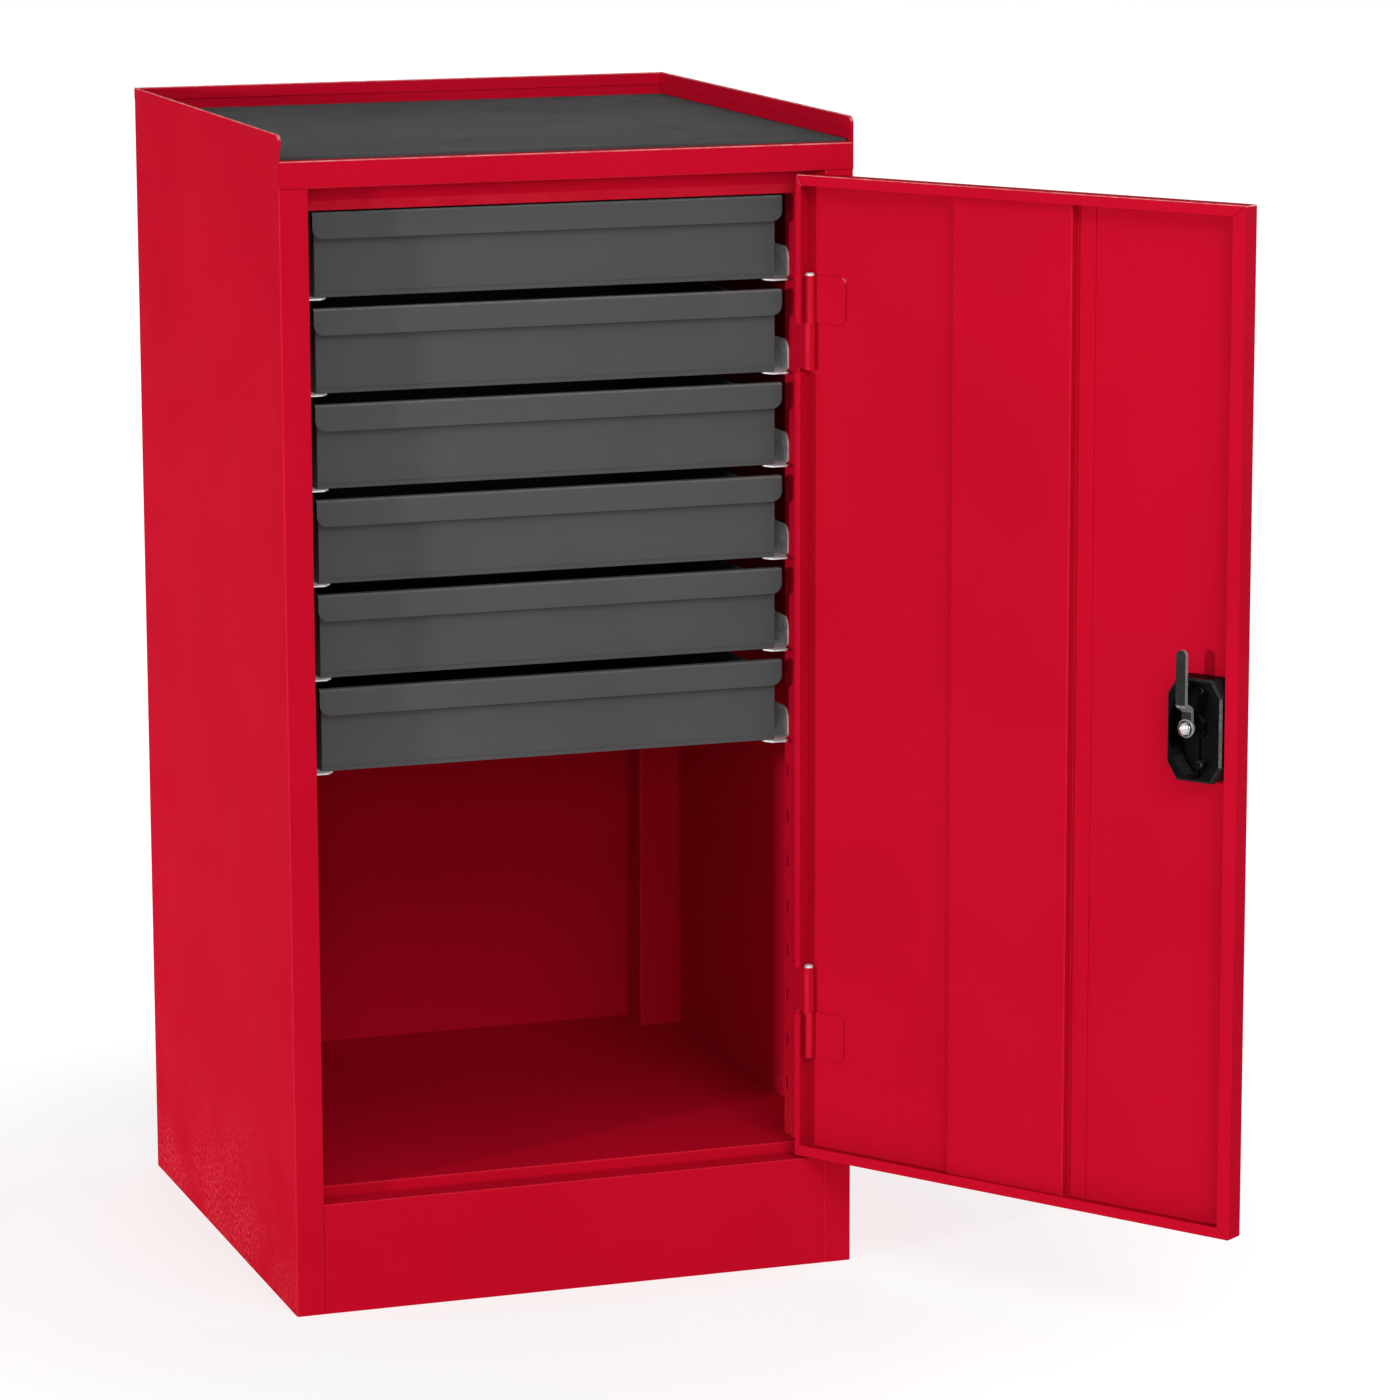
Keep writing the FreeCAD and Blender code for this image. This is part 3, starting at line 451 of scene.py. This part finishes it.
class Piece:
    """A mesh that is drawn in millimetres and rides on a body of the cabinet."""

    def __init__(self, name, body, slot):
        self.name = name
        self.body = body
        self.slot = slot
        self.mesh = bmesh.new()

    def turned(self, profile, foot, axis, steps=32):
        """A turned shape: profile gives radius and height along the axis from the foot."""
        along = Vector(axis).normalized()
        side = along.orthogonal().normalized()
        across = along.cross(side)
        angles = [2 * math.pi * k / steps for k in range(steps)]
        spokes = [side * math.cos(a) + across * math.sin(a) for a in angles]
        rings = []
        for radius, height in profile:
            centre = Vector(foot) + along * height
            if radius == 0:
                rings.append([self.mesh.verts.new(centre)])
            else:
                rings.append([self.mesh.verts.new(centre + spoke * radius) for spoke in spokes])
        for low, high in zip(rings, rings[1:]):
            self.join(low, high, steps)

    def join(self, low, high, steps):
        """Faces between two rings, either of which may be a single point."""
        for k in range(steps):
            n = (k + 1) % steps
            if len(low) == 1:
                self.mesh.faces.new((low[0], high[n], high[k]))
            elif len(high) == 1:
                self.mesh.faces.new((low[k], low[n], high[0]))
            else:
                self.mesh.faces.new((low[k], low[n], high[n], high[k]))

    def strip(self, section, start, end):
        """A section, given as offsets from a line, drawn along it and closed at both ends."""
        rings = []
        for place in (start, end):
            rings.append([self.mesh.verts.new(Vector(place) + Vector(offset)) for offset in section])
        for k in range(len(section)):
            n = (k + 1) % len(section)
            self.mesh.faces.new((rings[0][k], rings[0][n], rings[1][n], rings[1][k]))
        self.mesh.faces.new(rings[0][::-1])
        self.mesh.faces.new(rings[1])

    def finish(self, smooth_angle=CREASED, bevel=0.0):
        """Turns the drawn faces into an object of its body and slot."""
        bmesh.ops.recalc_face_normals(self.mesh, faces=self.mesh.faces)
        data = bpy.data.meshes.new(self.name)
        self.mesh.to_mesh(data)
        self.mesh.free()
        data.transform(Matrix.Scale(MM, 4))
        if self.body in DOOR_BODIES:
            data.transform(DOOR_TURN)
        data.shade_smooth()
        data.set_sharp_from_angle(angle=math.radians(smooth_angle))
        data.materials.append(finish_for(self.body, self.slot))
        made = bpy.data.objects.new(self.name, data)
        bpy.context.scene.collection.objects.link(made)
        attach(made, self.body)
        if bevel:
            softened = made.modifiers.new("soft_edges", "BEVEL")
            softened.width = bevel * MM
            softened.segments = BEVEL_SEGMENTS


def dome(radius, height, base, steps):
    """Radius and height of a dome's section, from its rim at the base to its crown."""
    angles = [math.pi / 2 * k / steps for k in range(steps)]
    rim = [(radius * math.cos(a), base + height * math.sin(a)) for a in angles]
    return rim + [(0, base + height)]


# Mat, millimetres: its ribs run across the cabinet. Shares are of a rib's width and height.
MAT_HALF = 246.0
MAT_FRONT = -239.2
MAT_REAR = 245.0
MAT_TOP = 980.0
RIB_PITCH = 3.0
RIB_HALF = 0.96
RIB_HEIGHT = 0.55
RIB_ROOT = 0.1
SHOULDER_SHARE = 0.45
CROWN_SHARE = 0.55


def add_mat_ribs():
    """Fine ribs of the rubber mat, each a low rounded strip."""
    piece = Piece("mat_ribs", "cabinet", "ribbed_rubber")
    shoulder = RIB_HEIGHT * SHOULDER_SHARE
    crown = RIB_HALF * CROWN_SHARE
    section = [
        (0, -RIB_HALF, -RIB_ROOT), (0, RIB_HALF, -RIB_ROOT), (0, RIB_HALF, shoulder),
        (0, crown, RIB_HEIGHT), (0, -crown, RIB_HEIGHT), (0, -RIB_HALF, shoulder),
    ]
    for k in range(int((MAT_REAR - MAT_FRONT) / RIB_PITCH)):
        y = MAT_FRONT + RIB_PITCH * (k + 0.5)
        piece.strip(section, (-MAT_HALF, y, MAT_TOP), (MAT_HALF, y, MAT_TOP))
    piece.finish()


# Return of the front rail behind the stop lip, millimetres: depth and height of its section
RETURN_SECTION = [(-225.0, 942.8), (-220.6, 934.0), (-219.8, 934.4), (-224.0, 942.8)]
RETURN_LEFT = -224.6
RETURN_RIGHT = 209.6


def add_rail_return():
    """Strip folded back and down from the front rail's lip, above the top drawer."""
    piece = Piece("front_rail_return", "cabinet", "powder_red")
    section = [(0, y, z) for y, z in RETURN_SECTION]
    piece.strip(section, (RETURN_LEFT, 0, 0), (RETURN_RIGHT, 0, 0))
    piece.finish()


# Front toes of the drawer rails, millimetres: outline of a right one, seen from above
TOE_OUTLINE = [
    (185.0, -201.7), (185.0, -207.0), (190.5, -214.2),
    (203.0, -214.5), (205.8, -211.8), (205.8, -201.7),
]
TOE_THICK = 1.4
TOE_BEVEL = 0.3
RAIL_PAIRS = 6
RAIL_PITCH = 80.0
LOWEST_RAIL = 459.0
RAILS_MIDDLE = -7.5


def add_rail_toes():
    """Tips of the rails' lower legs, which stand out below the drawer fronts on both sides."""
    piece = Piece("rail_toes", "cabinet", "galvanised")
    mirrored = [(2 * RAILS_MIDDLE - x, y) for x, y in TOE_OUTLINE]
    for outline in (TOE_OUTLINE, mirrored):
        section = [(x, y, 0) for x, y in outline]
        for k in range(RAIL_PAIRS):
            low = LOWEST_RAIL + RAIL_PITCH * k
            piece.strip(section, (0, 0, low), (0, 0, low + TOE_THICK))
    piece.finish(bevel=TOE_BEVEL)


# Lock, millimetres with the door shut. Profiles give radius and height above the face.
SPINDLE_X = -176.0
SPINDLE_Z = 524.5
HOUSING_X = -183.0
LEVER_FACE = -228.0
PAD_FACE = -238.0
PAD_Z = 31.0
SEAT_GAP = 0.02
WASHER_PROFILE = [(0, 0), (7.6, 0), (7.8, 0.4), (7.4, 1.2), (6.6, 1.8), (0, 2.0)]
HEXAGON_PROFILE = [(0, 1.6), (6.2, 1.6), (6.2, 3.0), (5.4, 3.5), (0, 3.6)]
SCREW_DOME = [(0, 3.4), (5.2, 3.4)] + dome(radius=5.2, height=2.2, base=3.7, steps=6)
SCREW_BEVEL = 0.4
CLAMP_PROFILE = [
    (0, 0), (3.1, 0), (3.3, 0.5), (2.9, 1.4),
    (2.2, 1.9), (1.6, 1.95), (1.45, 0.9), (0, 0.7),
]


def add_lever_screw():
    """Screw that clamps the lever on the spindle: a domed hexagon over a thick washer."""
    foot = (SPINDLE_X, LEVER_FACE + SEAT_GAP, SPINDLE_Z)
    washer = Piece("lever_washer", "lock_handle", "black_steel")
    washer.turned(WASHER_PROFILE, foot, BACK)
    washer.finish()
    screw = Piece("lever_screw", "lock_handle", "plated")
    screw.turned(HEXAGON_PROFILE, foot, BACK, steps=6)
    screw.turned(SCREW_DOME, foot, BACK)
    screw.finish(FACETED, SCREW_BEVEL)


def add_clamp_screws():
    """Two socket screws that hold the halves of the lock together."""
    piece = Piece("lock_clamp_screws", "door", "black_plastic")
    for z in (-PAD_Z, PAD_Z):
        foot = (HOUSING_X, PAD_FACE + SEAT_GAP, SPINDLE_Z + z)
        piece.turned(CLAMP_PROFILE, foot, BACK, steps=24)
    piece.finish()


# Rolled upper edge of the door pan, millimetres with the door shut
EDGE_RADIUS = 0.9
EDGE_STEPS = 16
EDGE_Y = -232.7
EDGE_Z = 951.3
EDGE_LEFT = -220.5
EDGE_RIGHT = 217.5


def add_door_edge():
    """Rounded fold between the pan's top and its rim."""
    piece = Piece("door_top_fold", "door", "powder_red")
    angles = [2 * math.pi * k / EDGE_STEPS for k in range(EDGE_STEPS)]
    section = [(0, EDGE_RADIUS * math.cos(a), EDGE_RADIUS * math.sin(a)) for a in angles]
    piece.strip(section, (EDGE_LEFT, EDGE_Y, EDGE_Z), (EDGE_RIGHT, EDGE_Y, EDGE_Z))
    piece.finish(ROUNDED)


# Spot welds, millimetres. Columns: x, the sheet's face, lowest weld, pitch and count.
WELD_RING = [(3.4, -0.05), (2.9, 0.09), (2.2, 0.07), (1.8, 0.015), (0, 0.01)]
DOOR_WELDS = [
    (193.0, -247.05, 836.0, 20.0, 2),
    (193.0, -247.05, 195.0, 20.0, 2),
    (72.0, -248.0, 130.0, 66.0, 13),
    (-62.0, -248.0, 130.0, 66.0, 13),
]
REAR_WELDS = [
    (-243.0, 250.0, 60.0, 75.0, 13),
    (243.0, 250.0, 60.0, 75.0, 13),
]


def add_spot_welds(name, body, columns):
    """Shallow rings that spot welds leave in the paint."""
    piece = Piece(name, body, "powder_red")
    for x, y, lowest, pitch, count in columns:
        for k in range(count):
            piece.turned(WELD_RING, (x, y, lowest + pitch * k), BACK, steps=14)
    piece.finish(ROUNDED)


# Weld beads of the frame's hinge leaves, millimetres
BEAD_X = 209.8
BEAD_Y = -213.2
BEAD_SPANS = ((788.0, 824.0), (227.0, 263.0))
BEAD_PITCH = 1.9
BEAD_AXIS = (-0.7, 0.7, 0.25)
BEAD_PROFILE = dome(radius=1.7, height=1.1, base=0, steps=4)


def add_hinge_beads():
    """Scales of the weld along each frame leaf."""
    piece = Piece("hinge_weld_beads", "cabinet", "powder_red")
    for low, high in BEAD_SPANS:
        for k in range(int((high - low) / BEAD_PITCH)):
            foot = (BEAD_X, BEAD_Y, low + BEAD_PITCH * k)
            piece.turned(BEAD_PROFILE, foot, BEAD_AXIS, steps=10)
    piece.finish(ROUNDED)


# Hollow welds behind the plinth's two ends, millimetres
PLINTH_HALF = 225.0
PLINTH_BACK = -248.8
PLINTH_LOW = 2.0
PLINTH_HIGH = 94.0
SEAM_LEG = 1.6
SEAM_HOLLOW = (0.56, 0.7)


def add_plinth_seams():
    """Welds that close the corners between the plinth and the stiles."""
    piece = Piece("plinth_corner_welds", "cabinet", "powder_red")
    for end in (-1, 1):
        x = end * PLINTH_HALF
        section = [
            (0, 0, 0), (-end * SEAM_LEG, 0, 0),
            (-end * SEAM_HOLLOW[0], SEAM_HOLLOW[1], 0), (0, SEAM_LEG, 0),
        ]
        piece.strip(section, (x, PLINTH_BACK, PLINTH_LOW), (x, PLINTH_BACK, PLINTH_HIGH))
    piece.finish(ROUNDED)


# Studio, metres

FLOOR_HALF = 14.0
FLOOR_COLOUR = (0.82, 0.82, 0.82, 1.0)
FLOOR_GLOW = 1.15
# The floor's own white drops to this share near the cabinet, within a band of distances
SHADOW_SHARE = 0.62
SHADOW_BAND = (0.45, 1.1)
# Light of the world: an even level, and a broad lobe from the upper front
WHITE = (1.0, 1.0, 1.0, 1.0)
AMBIENT = 0.12
LOBE = 0.76
LOBE_POWER = 2.0
LOBE_FROM = Vector((0.1, -0.7, 0.75)).normalized()
# Square lamps: place, target, side and power in watts
LAMPS = {
    "key": ((-7.2, -2.93, 1.48), (0.2, -0.4, 0.5), 0.45, 262.0),
    "low_left": ((-1.5, 0.5, 0.1), (-0.25, 0.15, 0.05), 0.7, 8.0),
    "front": ((0.2, -3.6, 2.6), (0.0, -0.2, 0.6), 1.2, 36.0),
    "fill": ((-1.2, -4.2, 1.4), (0.1, -0.2, 0.5), 0.8, 22.0),
    "right": ((3.6, 0.7, 0.85), (0.25, 0.0, 0.5), 1.4, 55.0),
    "back": ((0.9, 4.0, 0.85), (0.0, 0.25, 0.5), 1.4, 60.0),
}


def seen_rays(graph):
    """One for camera, glossy and transmission rays, nothing for the rest."""
    path = graph.node("ShaderNodeLightPath")
    seen = graph.math("MAXIMUM", path.outputs["Is Camera Ray"], path.outputs["Is Glossy Ray"])
    return graph.math("MAXIMUM", seen, path.outputs["Is Transmission Ray"])


def glow_share(graph):
    """Share of the floor's own white: less near the cabinet, so its shadow shows there."""
    distance = graph.node("ShaderNodeVectorMath")
    distance.operation = "LENGTH"
    graph.link(graph.coordinates("Object"), distance.inputs[0])
    return graph.spread(distance.outputs["Value"], (SHADOW_SHARE, 1.0), SHADOW_BAND, smooth=True)


def floor_material():
    """Pale diffuse floor, which glows white for the rays that see it."""
    material = bpy.data.materials.new("pale_floor")
    material.use_nodes = True
    graph = Graph(material.node_tree)
    graph.tree.nodes.clear()
    diffuse = graph.node("ShaderNodeBsdfDiffuse", Color=FLOOR_COLOUR)
    glow = graph.node("ShaderNodeEmission", Strength=FLOOR_GLOW)
    mix = graph.node("ShaderNodeMixShader")
    output = graph.node("ShaderNodeOutputMaterial")
    graph.link(graph.product(seen_rays(graph), glow_share(graph)), mix.inputs["Fac"])
    graph.link(diffuse.outputs[0], mix.inputs[1])
    graph.link(glow.outputs[0], mix.inputs[2])
    graph.link(mix.outputs[0], output.inputs["Surface"])
    return material


def add_floor():
    """Pale floor that shows white to the camera and keeps a soft shadow."""
    mesh = bpy.data.meshes.new("floor")
    corners = [(-1, -1), (1, -1), (1, 1), (-1, 1)]
    mesh.from_pydata([(x * FLOOR_HALF, y * FLOOR_HALF, 0) for x, y in corners], [], [(0, 1, 2, 3)])
    mesh.materials.append(floor_material())
    floor = bpy.data.objects.new("floor", mesh)
    bpy.context.scene.collection.objects.link(floor)


def add_world():
    """White to the camera and in reflections, soft light from the front to everything else."""
    world = bpy.data.worlds.new("studio")
    bpy.context.scene.world = world
    world.use_nodes = True
    graph = Graph(world.node_tree)
    ahead = graph.math("MAXIMUM", graph.along(graph.coordinates("Generated"), LOBE_FROM), 0.0)
    lobe = graph.math("POWER", ahead, LOBE_POWER)
    soft = graph.spread(lobe, values=(AMBIENT, AMBIENT + LOBE))
    background = graph.tree.nodes["Background"]
    background.inputs["Color"].default_value = WHITE
    graph.link(graph.mix("FLOAT", seen_rays(graph), soft, 1.0), background.inputs["Strength"])


def add_lamps():
    """Square area lamps, each turned to its target."""
    for name, (place, target, side, power) in LAMPS.items():
        light = bpy.data.lights.new(name, "AREA")
        light.shape = "SQUARE"
        light.size = side
        light.energy = power
        lamp = bpy.data.objects.new(name, light)
        bpy.context.scene.collection.objects.link(lamp)
        aim = Vector(target) - Vector(place)
        lamp.location = place
        lamp.rotation_euler = aim.to_track_quat("-Z", "Y").to_euler()


def add_camera():
    """Camera at the photograph's place, with its focal length and no shift."""
    data = bpy.data.cameras.new("camera")
    data.sensor_width = SENSOR_MM
    data.lens = FOCAL_PIXELS / IMAGE_PIXELS * SENSOR_MM
    data.clip_end = CAMERA_REACH
    camera = bpy.data.objects.new("camera", data)
    bpy.context.scene.collection.objects.link(camera)
    yaw = Matrix.Rotation(math.radians(-CAMERA_YAW), 4, "Z")
    tilt = Matrix.Rotation(math.radians(90 - CAMERA_PITCH), 4, "X")
    roll = Matrix.Rotation(math.radians(CAMERA_ROLL), 4, "Z")
    camera.matrix_world = Matrix.Translation(CAMERA_POS) @ yaw @ tilt @ roll
    bpy.context.scene.camera = camera


finish_cad_nodes()
add_mat_ribs()
add_rail_return()
add_rail_toes()
add_lever_screw()
add_clamp_screws()
add_door_edge()
add_spot_welds("door_spot_welds", "door", DOOR_WELDS)
add_spot_welds("rear_spot_welds", "cabinet", REAR_WELDS)
add_hinge_beads()
add_plinth_seams()
add_floor()
add_world()
add_lamps()
add_camera()
bpy.context.scene.view_settings.view_transform = "Standard"
